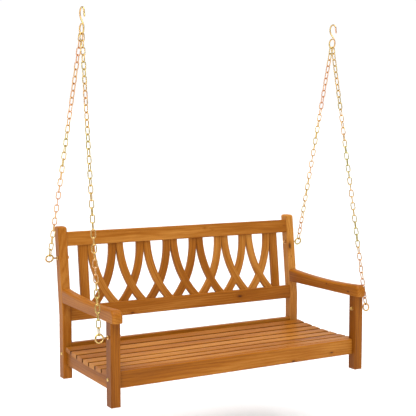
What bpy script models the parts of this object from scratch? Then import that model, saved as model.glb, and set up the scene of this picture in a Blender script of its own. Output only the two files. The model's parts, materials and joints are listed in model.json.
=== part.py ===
"""Two-seat hanging porch swing: slatted bench with a lattice back, on four chains and two S-hooks.

Metres, +X along the bench to its right-hand end as seen from the front, front at -Y, +Z up.
The origin lies midway between the two seats where the ceiling hooks carry the S-hooks.
The bench is drawn in its own frame (feet on z = 0, front posts' faces on y = 0) and hung
from one empty on the swing axis, which tilts it to the angle at which it hangs at rest.
"""
import math

import bmesh
import bpy
from mathutils import Matrix, Vector
from mathutils.geometry import interpolate_bezier

# ---- driving dimensions -------------------------------------------------------------------
GAP = 0.0003                 # clearance left between touching pieces
HALF_WIDTH = 0.600           # half the width over the posts
POST_WIDE = 0.040            # posts along X
POST_DEEP = 0.046            # posts along Y
BENCH_DEEP = 0.535           # front face of the front posts to the back of the rear posts' feet
KINK_HEIGHT = 0.264          # where the rear posts start to lean back
LEAN = 0.1185                # lean of the rear posts, run over rise
REAR_POST_TOP = 0.640
POST_ROUND = 0.009           # rounding of the rear posts' tops
FOOT_CHAMFER = 0.003

ARM_BOTTOM = 0.3235
ARM_WIDE = 0.043
ARM_OVERHANG = 0.022         # in front of the front posts
ARM_NOSE = 0.028             # radius of the rounded front end
ARM_TOP_FRONT, ARM_TOP_LOW, ARM_TOP_REAR = 0.3735, 0.3665, 0.3800
ARM_LOW_AT = 0.200           # y of the lowest point of the dished top

RAIL_RECESS = 0.005          # back rails behind the posts' front faces
BACK_RAIL_THICK = 0.032
TOP_RAIL = (0.5575, 0.6180)      # lower and upper edge
LOWER_BACK_RAIL = (0.2440, 0.3050)
TENON_LONG = 0.016
TENON_THICK = 0.020
TENON_SHOULDER = 0.010

BAYS = 7
BAY = 0.13333                # pitch of the lattice
SLAT_THICK = 0.018
SLAT_RECESS = 0.007          # lattice behind the faces of its rails
LATTICE_WIDE = 0.034
LATTICE_END_ANGLE = math.radians(41)
END_SLAT_WIDE = 0.041
GROOVE_DEEP = 0.008

SEAT_SLATS = 7
SEAT_FRONT = 0.0475          # front edge of the first slat behind the front posts
SEAT_PITCH = 0.0628
SEAT_SLAT_WIDE = 0.054
SEAT_SLAT_THICK = 0.018
SEAT_SLAT_END = 0.594        # half the slats' length
SEAT_LOW, SEAT_LOW_AT, SEAT_CURVE = 0.1262, 0.220, 0.19   # top = low + curve * (y - low_at)^2

SIDE_RAIL_OUTER = 0.5855
SIDE_RAIL_THICK = 0.025
SIDE_RAIL_BOTTOM = 0.0570
SIDE_TENON = (0.0620, 0.0940)
SIDE_TENON_LONG = 0.012
SIDE_TENON_THICK = 0.014
FRONT_RAIL_Y = (0.0200, 0.0457)
FRONT_RAIL_Z = (0.0660, 0.1320)
REAR_RAIL_Y = (0.4940, 0.5190)
REAR_RAIL_Z = (0.0660, 0.1490)
RAIL_BOLT_Z = (0.1035, 0.1060)   # front and rear
RAIL_BOLT_Y = (0.0310, 0.5080)
RAIL_BOLT_RADIUS = 0.0030
RAIL_BOLT_HEAD = 0.0070
RAIL_BOLT_IN_RAIL = 0.040

EYE_Z = (0.2670, 0.5080)         # front and rear eye bolts
EYE_OUT = 0.0365                 # ring centre outside the posts
EYE_RING = 0.0155                # ring radius to the middle of its wire
EYE_WIRE = 0.0035
EYE_COLLAR = (0.0085, 0.0035)    # radius and thickness
EYE_TAIL = 0.0110                # shank beyond the inner face of the post
WASHER = (0.0090, 0.0016)
NUT_ACROSS, NUT_THICK = 0.0130, 0.0065

HOOK_X = 0.6035
HOOK_WIRE = 0.00325
HOOK_TOP_RADIUS = 0.0210
HOOK_EYE_RADIUS = 0.0200
HOOK_NECK = (0.0270, 0.0300)     # how far the neck leaves the crook and the eye straight
HOOK_EYE_DROP = 0.08025          # seat of the ceiling hook down to the centre of the lower eye
AXIS_IN_BENCH = Vector((0.0, 0.2430, 1.4320))   # swing axis in the bench's own frame
HANG_TILT = math.radians(4.739)   # backward tilt at which the centre of mass hangs under the axis

LINK_WIRE = 0.0045
LINK_WIDE = 0.0210
LINK_SIDE = 0.0034           # width of the long sides of the squared links
LINK_CORNER = 0.0060         # corners off the two links beside the hook, clear of the other chain
LINK_WELD = 0.0001           # overlap that welds each link to the next
CHAIN_LINKS = (41, 33)           # front and rear

SIDES = {"left": -1, "right": 1}
ALONG_X = Matrix.Rotation(math.pi / 2, 4, "Y")                       # local Z to +X
YZ_PLANE = Matrix(((0, 0, 1, 0), (1, 0, 0, 0), (0, 1, 0, 0), (0, 0, 0, 1)))
XZ_PLANE = Matrix(((1, 0, 0, 0), (0, 0, -1, 0), (0, 1, 0, 0), (0, 0, 0, 1)))


# ---- scene, materials and general helpers -------------------------------------------------
for old in list(bpy.data.objects):
    bpy.data.objects.remove(old, do_unlink=True)

swing = bpy.data.collections.new("porch_swing")
cutters = bpy.data.collections.new("cutters")
for collection in (swing, cutters):
    bpy.context.scene.collection.children.link(collection)


def material(name, colour, roughness, metallic):
    made = bpy.data.materials.new(name)
    made.use_nodes = True
    shader = made.node_tree.nodes["Principled BSDF"]
    shader.inputs["Base Color"].default_value = (*colour, 1)
    shader.inputs["Roughness"].default_value = roughness
    shader.inputs["Metallic"].default_value = metallic
    made.diffuse_color = (*colour, 1)
    return made


RAIL_WOOD = material("rail_wood", (0.42, 0.19, 0.05), 0.5, 0.0)
SEAT_WOOD = material("seat_wood", (0.60, 0.31, 0.11), 0.5, 0.0)
LATTICE_WOOD = material("lattice_wood", (0.50, 0.24, 0.06), 0.5, 0.0)
ZINC = material("yellow_zinc", (0.75, 0.58, 0.32), 0.3, 1.0)

swing_axis = bpy.data.objects.new("swing_axis", None)
swing_axis.location = (0, 0, -HOOK_EYE_DROP)
swing_axis.rotation_euler = (-HANG_TILT, 0, 0)
swing.objects.link(swing_axis)


def place(name, mesh, finish, matrix=Matrix.Identity(4), parent=swing_axis, collection=swing):
    """Make a named object of a mesh, at a place in the bench's frame if it hangs on the swing axis."""
    made = bpy.data.objects.new(name, mesh)
    collection.objects.link(made)
    made.parent = parent
    if parent:
        made.matrix_parent_inverse = Matrix.Translation(-AXIS_IN_BENCH)
    made.matrix_basis = matrix
    if finish:
        mesh.materials.clear()
        mesh.materials.append(finish)
    return made


def box_mesh(low, high):
    low, high = Vector(low), Vector(high)
    shape = bmesh.new()
    bmesh.ops.create_cube(shape, size=1)
    bmesh.ops.scale(shape, vec=high - low, verts=shape.verts)
    bmesh.ops.translate(shape, vec=(low + high) / 2, verts=shape.verts)
    mesh = bpy.data.meshes.new("box")
    shape.to_mesh(mesh)
    shape.free()
    return mesh


def rod_mesh(radius, start, end, sides=12, turn=ALONG_X):
    """A round bar along local Z from start to end, turned to lie along X."""
    shape = bmesh.new()
    bmesh.ops.create_cone(shape, cap_ends=True, segments=sides, radius1=radius, radius2=radius,
                          depth=end - start)
    bmesh.ops.translate(shape, vec=(0, 0, (start + end) / 2), verts=shape.verts)
    bmesh.ops.transform(shape, matrix=turn, verts=shape.verts)
    mesh = bpy.data.meshes.new("rod")
    shape.to_mesh(mesh)
    shape.free()
    return mesh


def curve_mesh(curve, matrix=Matrix.Identity(4)):
    """Turn a curve with caps into a welded mesh."""
    carrier = bpy.data.objects.new("curve_carrier", curve)
    cutters.objects.link(carrier)
    evaluated = carrier.evaluated_get(bpy.context.evaluated_depsgraph_get())
    mesh = bpy.data.meshes.new_from_object(evaluated)
    bpy.data.objects.remove(carrier)
    shape = bmesh.new()
    shape.from_mesh(mesh)
    bmesh.ops.remove_doubles(shape, verts=shape.verts, dist=0.00001)
    bmesh.ops.transform(shape, matrix=matrix, verts=shape.verts)
    shape.to_mesh(mesh)
    shape.free()
    return mesh


def plate_mesh(outlines, thick, plane):
    """A flat plate with the given closed outlines, centred on its plane."""
    curve = bpy.data.curves.new("outline", "CURVE")
    curve.dimensions = "2D"
    curve.fill_mode = "BOTH"
    curve.extrude = thick / 2
    for points in outlines:
        spline = curve.splines.new("POLY")
        spline.points.add(len(points) - 1)
        for point, (u, v) in zip(spline.points, points):
            point.co = (u, v, 0, 1)
        spline.use_cyclic_u = True
    return curve_mesh(curve, plane)


def wire_mesh(points, radius, closed=False, resolution=2):
    """A round wire along a list of points."""
    curve = bpy.data.curves.new("wire", "CURVE")
    curve.dimensions = "3D"
    curve.bevel_depth = radius
    curve.bevel_resolution = resolution
    curve.use_fill_caps = not closed
    curve.twist_mode = "Z_UP"
    spline = curve.splines.new("POLY")
    spline.points.add(len(points) - 1)
    for point, place_at in zip(spline.points, points):
        point.co = (*place_at, 1)
    spline.use_cyclic_u = closed
    return curve_mesh(curve)


def arc(centre, radius, start, end, steps):
    """Points on an arc from start to end, both in degrees."""
    angles = [math.radians(start + (end - start) * i / steps) for i in range(steps + 1)]
    return [(centre[0] + radius * math.cos(a), centre[1] + radius * math.sin(a)) for a in angles]


def cut(target, mesh, operation="DIFFERENCE", matrix=Matrix.Identity(4)):
    """Cut or join a mesh with a Boolean modifier, the tool kept hidden among the cutters."""
    name = f"{target.name}_tool_{len(target.modifiers)}"
    tool = place(name, mesh, None, matrix, target.parent, cutters)
    tool.hide_render = True
    tool.display_type = "WIRE"
    modifier = target.modifiers.new(f"cut_{len(target.modifiers)}", "BOOLEAN")
    modifier.operation = operation
    modifier.object = tool
    return target


def rear_face(z):
    """y of the rear posts' front face at a height."""
    return BENCH_DEEP - POST_DEEP + max(0.0, z - KINK_HEIGHT) * LEAN


def seat_top(y):
    return SEAT_LOW + SEAT_CURVE * (y - SEAT_LOW_AT) ** 2


INNER = HALF_WIDTH - POST_WIDE          # inner face of the posts
RAIL_END = INNER - GAP


# ---- posts --------------------------------------------------------------------------------
def front_post(side):
    sign = SIDES[side]
    low, high = sorted((sign * HALF_WIDTH, sign * INNER))
    shape = box_mesh((low, 0, 0), (high, POST_DEEP, ARM_BOTTOM - GAP))
    post = place(f"front_post_{side}", shape, RAIL_WOOD)
    drill_post(post, sign, (POST_DEEP / 2, EYE_Z[0]), (RAIL_BOLT_Y[0], RAIL_BOLT_Z[0]))
    cut(post, side_tenon_mesh(sign, GAP))


def rear_post(side):
    sign = SIDES[side]
    top_y = rear_face(REAR_POST_TOP)
    front = [(BENCH_DEEP - POST_DEEP, FOOT_CHAMFER), (BENCH_DEEP - POST_DEEP + FOOT_CHAMFER, 0)]
    back = [(BENCH_DEEP - FOOT_CHAMFER, 0), (BENCH_DEEP, FOOT_CHAMFER), (BENCH_DEEP, KINK_HEIGHT)]
    lean = math.degrees(math.atan(LEAN))
    drop = REAR_POST_TOP - POST_ROUND
    back_arc = arc((rear_face(drop) + POST_DEEP - POST_ROUND, drop), POST_ROUND, -lean, 90, 4)
    front_arc = arc((rear_face(drop) + POST_ROUND, drop), POST_ROUND, 90, 180 - lean, 4)
    outline = front + back + back_arc + front_arc + [(BENCH_DEEP - POST_DEEP, KINK_HEIGHT)]
    shape = plate_mesh([outline], POST_WIDE, YZ_PLANE)
    post = place(f"rear_post_{side}", shape, RAIL_WOOD,
                 Matrix.Translation((sign * (HALF_WIDTH - POST_WIDE / 2), 0, 0)))
    eye = (rear_face(EYE_Z[1]) + POST_DEEP / 2, EYE_Z[1])
    drill_post(post, sign, eye, (RAIL_BOLT_Y[1], RAIL_BOLT_Z[1]))
    for rail in (TOP_RAIL, LOWER_BACK_RAIL):
        cut(post, back_tenon_mesh(rail, GAP), matrix=back_rail_place(rail))
    cut(post, side_tenon_mesh(sign, GAP))


def drill_post(post, sign, eye, bolt):
    """Holes through a post for its eye bolt and its rail bolt."""
    for radius, (y, z) in ((EYE_WIRE, eye), (RAIL_BOLT_RADIUS, bolt)):
        hole = rod_mesh(radius + GAP, -POST_WIDE, POST_WIDE)
        cut(post, hole, matrix=Matrix.Translation((sign * (HALF_WIDTH - POST_WIDE / 2), y, z)))


# ---- rails of the back --------------------------------------------------------------------
def back_rail_place(rail):
    """Frame of a back rail: local X along it, Z up the lean, origin low on the leaning front plane."""
    y = BENCH_DEEP - POST_DEEP + (rail[0] - KINK_HEIGHT) * LEAN
    return Matrix.Translation((0, y, rail[0])) @ Matrix.Rotation(-math.atan(LEAN), 4, "X")


def lean_height(rail):
    return (rail[1] - rail[0]) * math.hypot(1, LEAN)


def back_tenon_mesh(rail, grow=0.0):
    """Bar that makes the stub tenons of a back rail; grown by the clearance, it cuts their mortises."""
    tip, half = INNER + TENON_LONG + grow, TENON_THICK / 2 + grow
    middle = RAIL_RECESS + BACK_RAIL_THICK / 2
    return box_mesh((-tip, middle - half, TENON_SHOULDER - grow),
                    (tip, middle + half, lean_height(rail) - TENON_SHOULDER + grow))


def back_rail(name, rail, groove_on_top):
    height = lean_height(rail)
    body = box_mesh((-RAIL_END, RAIL_RECESS, 0), (RAIL_END, RAIL_RECESS + BACK_RAIL_THICK, height))
    made = place(name, body, RAIL_WOOD, back_rail_place(rail))
    cut(made, back_tenon_mesh(rail), "UNION", back_rail_place(rail))
    floor = height - GROOVE_DEEP if groove_on_top else GROOVE_DEEP
    low_z, high_z = (floor, height + 0.01) if groove_on_top else (-0.01, floor)
    reach = BAY * BAYS / 2 + END_SLAT_WIDE + GAP
    front = RAIL_RECESS + SLAT_RECESS
    groove = box_mesh((-reach, front - GAP, low_z), (reach, front + SLAT_THICK + GAP, high_z))
    cut(made, groove, matrix=back_rail_place(rail))


# ---- lattice ------------------------------------------------------------------------------
LATTICE_LOW = (TOP_RAIL[0] - LOWER_BACK_RAIL[1]) * math.hypot(1, LEAN)   # clear height up the lean
LATTICE_HIGH = GROOVE_DEEP - GAP
LATTICE_PLACE = back_rail_place(TOP_RAIL)                                # origin at the top rail's foot


def arc_strip(grow=0.0):
    """Outline of one curved slat of the first bay, upright at the top and swinging to the right."""
    radius = LATTICE_LOW / math.sin(LATTICE_END_ANGLE)
    start = LATTICE_WIDE / 2
    centre = (start + radius, 0)
    end = 180 + math.degrees(LATTICE_END_ANGLE) + 4
    outer = arc(centre, radius + LATTICE_WIDE / 2 + grow, 180, end, 10)
    inner = arc(centre, radius - LATTICE_WIDE / 2 - grow, 180, end, 10)
    top = [(start + edge * (LATTICE_WIDE / 2 + grow), LATTICE_HIGH + grow) for edge in (1, -1)]
    return top + outer + inner[::-1]


def lattice_mesh(mirror):
    """One curved slat, trimmed to its bay and half-lapped where its partner crosses it."""
    flip = Matrix.Translation((BAY, 0, 0)) @ Matrix.Diagonal((-1, 1, 1, 1))
    strip = plate_mesh([arc_strip()], SLAT_THICK, XZ_PLANE)
    crossing = plate_mesh([arc_strip(GAP)], SLAT_THICK, XZ_PLANE)
    crossing.transform(flip)
    crossing.flip_normals()
    lap = (SLAT_THICK - GAP) / 2 * (-1 if mirror else 1)
    crossing.transform(Matrix.Translation((0, lap, 0)))
    blank = place("lattice_blank", strip, None)
    bounds = box_mesh((GAP / 2, -SLAT_THICK, -LATTICE_LOW - GROOVE_DEEP + GAP), (BAY - GAP / 2, SLAT_THICK, 1))
    if mirror:
        strip.transform(flip)
        strip.flip_normals()
        crossing.transform(flip)
        crossing.flip_normals()
    cut(blank, bounds, "INTERSECT")
    cut(blank, crossing)
    bpy.context.view_layer.update()
    mesh = bpy.data.meshes.new_from_object(blank.evaluated_get(bpy.context.evaluated_depsgraph_get()))
    for modifier in list(blank.modifiers):
        bpy.data.objects.remove(modifier.object)
    bpy.data.objects.remove(blank)
    return mesh


def lattice():
    depth = RAIL_RECESS + SLAT_RECESS + SLAT_THICK / 2
    for hand, mirror in (("right", False), ("left", True)):
        mesh = lattice_mesh(mirror)
        for bay in range(BAYS):
            at = Matrix.Translation(((bay - BAYS / 2) * BAY, depth, 0))
            place(f"lattice_{hand}_{bay + 1}", mesh, LATTICE_WOOD, LATTICE_PLACE @ at)
    for side, sign in SIDES.items():
        low, high = sorted((sign * (BAYS * BAY / 2 + GAP), sign * (BAYS * BAY / 2 + END_SLAT_WIDE)))
        mesh = box_mesh((low, depth - SLAT_THICK / 2, -LATTICE_LOW - GROOVE_DEEP + GAP),
                        (high, depth + SLAT_THICK / 2, LATTICE_HIGH))
        place(f"end_slat_{side}", mesh, LATTICE_WOOD, LATTICE_PLACE)


# ---- seat ---------------------------------------------------------------------------------
def slat_place(index):
    """Frame of a seat slat: origin in the middle of its underside, Z out of its top."""
    y = SEAT_FRONT + SEAT_PITCH * (index + 0.5) - (SEAT_PITCH - SEAT_SLAT_WIDE) / 2
    slope = 2 * SEAT_CURVE * (y - SEAT_LOW_AT)
    top = Matrix.Translation((0, y, seat_top(y))) @ Matrix.Rotation(math.atan(slope), 4, "X")
    return top @ Matrix.Translation((0, 0, -SEAT_SLAT_THICK))


def seat_slats():
    mesh = box_mesh((-SEAT_SLAT_END, -SEAT_SLAT_WIDE / 2, 0),
                    (SEAT_SLAT_END, SEAT_SLAT_WIDE / 2, SEAT_SLAT_THICK))
    for index in range(SEAT_SLATS):
        place(f"seat_slat_{index + 1}", mesh, SEAT_WOOD, slat_place(index))


def bearing_edge(front, rear):
    """Top edge of a side rail, one flat under each slat, from rear to front."""
    points = []
    for index in reversed(range(SEAT_SLATS)):
        for edge in (0.5, -0.5):
            spot = slat_place(index) @ Vector((0, edge * SEAT_SLAT_WIDE, -GAP))
            points.append((min(max(spot.y, front), rear), spot.z))
    return points


def side_tenon_mesh(sign, grow=0.0):
    """Bar that makes both stub tenons of a side rail; grown by the clearance, it cuts their mortises."""
    middle, half = sign * (SIDE_RAIL_OUTER - SIDE_RAIL_THICK / 2), SIDE_TENON_THICK / 2 + grow
    return box_mesh((middle - half, POST_DEEP - SIDE_TENON_LONG - grow, SIDE_TENON[0] - grow),
                    (middle + half, BENCH_DEEP - POST_DEEP + SIDE_TENON_LONG + grow, SIDE_TENON[1] + grow))


def rail_outline(front, rear, bottom):
    """Side view of a rail that carries the slats, one flat under each of them."""
    rear_top, front_top = slat_place(SEAT_SLATS - 1).translation.z, slat_place(0).translation.z
    outline = [(front, bottom), (rear, bottom), (rear, rear_top)] + bearing_edge(front, rear)
    outline.append((front, front_top))
    return [point for i, point in enumerate(outline) if math.dist(point, outline[i - 1]) > 2 * GAP]


def side_rail(side):
    sign = SIDES[side]
    outline = rail_outline(POST_DEEP + GAP, BENCH_DEEP - POST_DEEP - GAP, SIDE_RAIL_BOTTOM)
    rail = place(f"side_rail_{side}", plate_mesh([outline], SIDE_RAIL_THICK, YZ_PLANE), RAIL_WOOD,
                 Matrix.Translation((sign * (SIDE_RAIL_OUTER - SIDE_RAIL_THICK / 2), 0, 0)))
    cut(rail, side_tenon_mesh(sign), "UNION")


def seat_bearer():
    outline = rail_outline(FRONT_RAIL_Y[1] + GAP, REAR_RAIL_Y[0] - GAP, FRONT_RAIL_Z[0])
    place("seat_bearer", plate_mesh([outline], SIDE_RAIL_THICK, YZ_PLANE), RAIL_WOOD)


def long_rail(name, y_span, z_span, bolt):
    shape = box_mesh((-RAIL_END, y_span[0], z_span[0]), (RAIL_END, y_span[1], z_span[1]))
    rail = place(name, shape, RAIL_WOOD)
    for sign in SIDES.values():
        hole = rod_mesh(RAIL_BOLT_RADIUS + GAP, INNER - RAIL_BOLT_IN_RAIL - GAP, INNER + 0.01)
        cut(rail, hole, matrix=Matrix.Translation((0, RAIL_BOLT_Y[bolt], RAIL_BOLT_Z[bolt]))
            @ Matrix.Rotation(0 if sign > 0 else math.pi, 4, "Z"))


# ---- armrests -----------------------------------------------------------------------------
def arm_top(y):
    """Dished top of the armrest: a parabola on each side of its lowest point."""
    if y < ARM_LOW_AT:
        return ARM_TOP_LOW + (ARM_TOP_FRONT - ARM_TOP_LOW) * ((ARM_LOW_AT - y) / ARM_LOW_AT) ** 2
    run = BENCH_DEEP - POST_DEEP - ARM_LOW_AT
    return ARM_TOP_LOW + (ARM_TOP_REAR - ARM_TOP_LOW) * ((y - ARM_LOW_AT) / run) ** 2


def armrest(side):
    sign = SIDES[side]
    nose_y = -ARM_OVERHANG
    nose = arc((nose_y + ARM_NOSE, arm_top(nose_y + ARM_NOSE) - ARM_NOSE), ARM_NOSE, 90, 180, 6)
    steps = 8
    rear_y = rear_face(ARM_TOP_REAR) - GAP * 1.5
    spots = [rear_y + (nose_y + ARM_NOSE - rear_y) * i / steps for i in range(steps)]
    top = [(y, arm_top(y)) for y in spots]
    outline = [(nose_y, ARM_BOTTOM), (rear_face(ARM_BOTTOM) - GAP * 1.5, ARM_BOTTOM)] + top + nose
    mesh = plate_mesh([outline], ARM_WIDE, YZ_PLANE)
    place(f"armrest_{side}", mesh, RAIL_WOOD, Matrix.Translation((sign * (HALF_WIDTH - ARM_WIDE / 2), 0, 0)))


# ---- bolts --------------------------------------------------------------------------------
def outward(side, y, z, turn=0.0):
    """Frame on the outer face of a post: local +X points out of the bench, turned about its axis."""
    facing = Matrix.Rotation(0 if side == "right" else math.pi, 4, "Z")
    return Matrix.Translation((SIDES[side] * HALF_WIDTH, y, z)) @ Matrix.Rotation(turn, 4, "X") @ facing


def eye_bolt(side, end, y, z):
    """Eye bolt turned in its hole so that the ring lies in line with its chain, with washer and nut."""
    frame = outward(side, y, z, -math.atan2(AXIS_IN_BENCH.y - y, AXIS_IN_BENCH.z - z))
    ring_points = [(EYE_OUT + u, 0, v) for u, v in arc((0, 0), EYE_RING, 180, 540, 14)[:-1]]
    ring = wire_mesh(ring_points, EYE_WIRE, closed=True, resolution=1)
    bolt = place(f"eye_bolt_{end}_{side}", ring, ZINC, frame)
    shank = rod_mesh(EYE_WIRE, -POST_WIDE - EYE_TAIL, EYE_OUT - EYE_RING)
    collar = rod_mesh(EYE_COLLAR[0], GAP, EYE_COLLAR[1])
    cut(bolt, shank, "UNION", frame)
    cut(bolt, collar, "UNION", frame)
    hole = arc((0, 0), EYE_WIRE + GAP, 0, 360, 12)[:-1]
    rim = arc((0, 0), WASHER[0], 0, 360, 16)[:-1]
    hexagon = arc((0, 0), NUT_ACROSS / math.sqrt(3), 0, 360, 6)[:-1]
    washer_at = -POST_WIDE - GAP - WASHER[1] / 2
    nut_at = washer_at - WASHER[1] / 2 - GAP - NUT_THICK / 2
    pieces = (("washer", rim, WASHER[1], washer_at), ("nut", hexagon, NUT_THICK, nut_at))
    for kind, outline, thick, at in pieces:
        mesh = plate_mesh([outline, hole], thick, ALONG_X)
        place(f"eye_bolt_{kind}_{end}_{side}", mesh, ZINC, frame @ Matrix.Translation((at, 0, 0)))


def rail_bolt(side, end, y, z):
    """Connector bolt turned from a profile: low round head outside, shank through post and rail."""
    tail = -POST_WIDE - RAIL_BOLT_IN_RAIL + 0.002
    profile = [(0, 0.0035), (0.0045, 0.0032), (RAIL_BOLT_HEAD, 0.0015), (RAIL_BOLT_HEAD, GAP),
               (RAIL_BOLT_RADIUS, GAP), (RAIL_BOLT_RADIUS, tail), (0, tail)]
    mesh = bpy.data.meshes.new("bolt_profile")
    edges = [(i, i + 1) for i in range(len(profile) - 1)]
    mesh.from_pydata([(r, 0, h) for r, h in profile], edges, [])
    bolt = place(f"rail_bolt_{end}_{side}", mesh, ZINC, outward(side, y, z) @ ALONG_X)
    screw = bolt.modifiers.new("turned", "SCREW")
    screw.steps = screw.render_steps = 12
    screw.use_merge_vertices = True
    screw.merge_threshold = 0.00005


# ---- hooks and chains ---------------------------------------------------------------------
def s_hook(side):
    """S-hook in the YZ plane: open hook above, facing forward, closed eye below."""
    top_centre = (0, HOOK_WIRE - HOOK_TOP_RADIUS)
    eye_centre = (0, -HOOK_EYE_DROP)
    tip = [(-0.0250, top_centre[1] - 0.0130), (-0.0225, top_centre[1] - 0.0060)]
    crook = arc(top_centre, HOOK_TOP_RADIUS, 180, 0, 8)
    start = Vector((HOOK_TOP_RADIUS, top_centre[1], 0))
    end = Vector((-HOOK_EYE_RADIUS, eye_centre[1], 0))
    lead, trail = start - Vector((0, HOOK_NECK[0], 0)), end + Vector((0, HOOK_NECK[1], 0))
    neck = [tuple(spot)[:2] for spot in interpolate_bezier(start, lead, trail, end, 9)[1:-1]]
    eye = arc(eye_centre, HOOK_EYE_RADIUS, 180, 452, 18)
    points = [(0, y, z) for y, z in tip + crook + neck + eye]
    place(f"s_hook_{side}", wire_mesh(points, HOOK_WIRE), ZINC,
          Matrix.Translation((SIDES[side] * HOOK_X, 0, 0)), parent=None)


def link_mesh(pitch, corner):
    """A squared link along local Z in the XZ plane, its ends deep enough to weld to the next link."""
    inside, bar = (pitch - LINK_WELD) / 2, LINK_WIRE + LINK_WELD
    wide, high = LINK_WIDE / 2, inside + bar
    outer = []
    for u, v in ((1, 1), (-1, 1), (-1, -1), (1, -1)):
        ends = [(u * wide, v * (high - corner)), (u * (wide - corner), v * high)]
        outer += (ends if u * v > 0 else ends[::-1]) if corner else [(u * wide, v * high)]
    wide, high = LINK_WIDE / 2 - LINK_SIDE, inside
    inner = [(wide, high), (-wide, high), (-wide, -high), (wide, -high)]
    return plate_mesh([outer, inner], bar, XZ_PLANE)


def chain(side, end, count, eye_y, eye_z):
    """A taut chain from the hook's eye to an eye bolt, its links welded together where they touch."""
    hook = Vector((SIDES[side] * HOOK_X, AXIS_IN_BENCH.y, AXIS_IN_BENCH.z))
    ring = Vector((SIDES[side] * (HALF_WIDTH + EYE_OUT), eye_y, eye_z))
    along = (ring - hook).normalized()
    first = hook + along * (HOOK_EYE_RADIUS - HOOK_WIRE - GAP - LINK_WELD)
    last = ring - along * (EYE_RING - EYE_WIRE - GAP - LINK_WELD)
    pitch = (last - first).length / count
    across = Vector((1, 0, 0)).cross(along).normalized()
    wide = along.cross(across)
    frame = Matrix((wide, across, -along)).transposed().to_4x4()
    twist = math.pi / 2 if count % 2 else 0.0
    plain, cornered = link_mesh(pitch, 0), link_mesh(pitch, LINK_CORNER)
    links = bpy.data.collections.new(f"links_{end}_{side}")
    cutters.children.link(links)
    made = None
    for i in range(count):
        turn = i * (math.pi / 2 + twist / (count - 1))
        at = Matrix.Translation(first + along * pitch * (i + 0.5)) @ frame @ Matrix.Rotation(turn, 4, "Z")
        mesh = cornered if i < 2 else plain
        if made is None:
            made = place(f"chain_{end}_{side}", mesh, ZINC, at)
        else:
            link = place(f"link_{end}_{side}_{i}", mesh, ZINC, at, collection=links)
            link.hide_render = True
            link.display_type = "WIRE"
    union = made.modifiers.new("welded", "BOOLEAN")
    union.operation = "UNION"
    union.operand_type = "COLLECTION"
    union.collection = links


# ---- assembly -----------------------------------------------------------------------------
back_rail("top_rail", TOP_RAIL, groove_on_top=False)
back_rail("lower_back_rail", LOWER_BACK_RAIL, groove_on_top=True)
lattice()
seat_slats()
seat_bearer()
long_rail("front_rail", FRONT_RAIL_Y, FRONT_RAIL_Z, 0)
long_rail("rear_rail", REAR_RAIL_Y, REAR_RAIL_Z, 1)
for side_name in SIDES:
    front_post(side_name)
    rear_post(side_name)
    side_rail(side_name)
    armrest(side_name)
    s_hook(side_name)
    for row, end_name in enumerate(("front", "rear")):
        eye_at = (rear_face(EYE_Z[row]) if row else 0.0) + POST_DEEP / 2
        eye_bolt(side_name, end_name, eye_at, EYE_Z[row])
        rail_bolt(side_name, end_name, RAIL_BOLT_Y[row], RAIL_BOLT_Z[row])
        chain(side_name, end_name, CHAIN_LINKS[row], eye_at, EYE_Z[row])
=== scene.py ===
"""Looks of a two-seat hanging porch swing: oiled acacia boards on yellow-zinc chains, hooks and bolts.

Metres, in the frame of the CAD model: +X along the bench, front at -Y, +Z up. The pieces are
drawn in the bench's own frame (feet on z = 0, front posts' faces on y = 0), and HANG moves them
to where the bench hangs. Boards of the back are drawn in BACK, a frame on the leaning plane.
"""
import json
import math

import bmesh
import bpy
from mathutils import Matrix, Vector
from mathutils.geometry import interpolate_bezier


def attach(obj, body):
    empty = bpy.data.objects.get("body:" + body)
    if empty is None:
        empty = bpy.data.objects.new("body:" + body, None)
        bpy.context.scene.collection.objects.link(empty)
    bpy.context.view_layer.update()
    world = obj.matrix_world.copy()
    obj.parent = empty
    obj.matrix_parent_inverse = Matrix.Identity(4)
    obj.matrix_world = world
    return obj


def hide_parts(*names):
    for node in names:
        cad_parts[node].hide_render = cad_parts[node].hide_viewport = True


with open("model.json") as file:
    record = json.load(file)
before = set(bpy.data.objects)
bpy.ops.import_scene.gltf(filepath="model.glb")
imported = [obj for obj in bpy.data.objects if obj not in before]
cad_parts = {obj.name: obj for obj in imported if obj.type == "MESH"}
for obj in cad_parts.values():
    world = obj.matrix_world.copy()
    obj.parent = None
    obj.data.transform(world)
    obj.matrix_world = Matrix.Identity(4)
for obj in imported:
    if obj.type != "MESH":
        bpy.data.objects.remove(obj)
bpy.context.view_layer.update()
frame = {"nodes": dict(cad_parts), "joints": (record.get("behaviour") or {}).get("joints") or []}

# ---- driving dimensions -------------------------------------------------------------------
SWING_AXIS = Vector(frame["joints"][0]["pos_m"])
AXIS_IN_BENCH = Vector((0.0, 0.2430, 1.4320))
HANG_TILT = math.radians(4.739)
BENCH_DEEP, POST_WIDE, POST_DEEP = 0.535, 0.040, 0.046
KINK_HEIGHT, LEAN = 0.264, 0.1185
HANG = (Matrix.Translation(SWING_AXIS) @ Matrix.Rotation(-HANG_TILT, 4, "X")
        @ Matrix.Translation(-AXIS_IN_BENCH))
BACK = HANG @ Matrix.Translation((0, BENCH_DEEP - POST_DEEP, KINK_HEIGHT)) \
    @ Matrix.Rotation(-math.atan(LEAN), 4, "X")
SIDES = {"left": -1, "right": 1}

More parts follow.
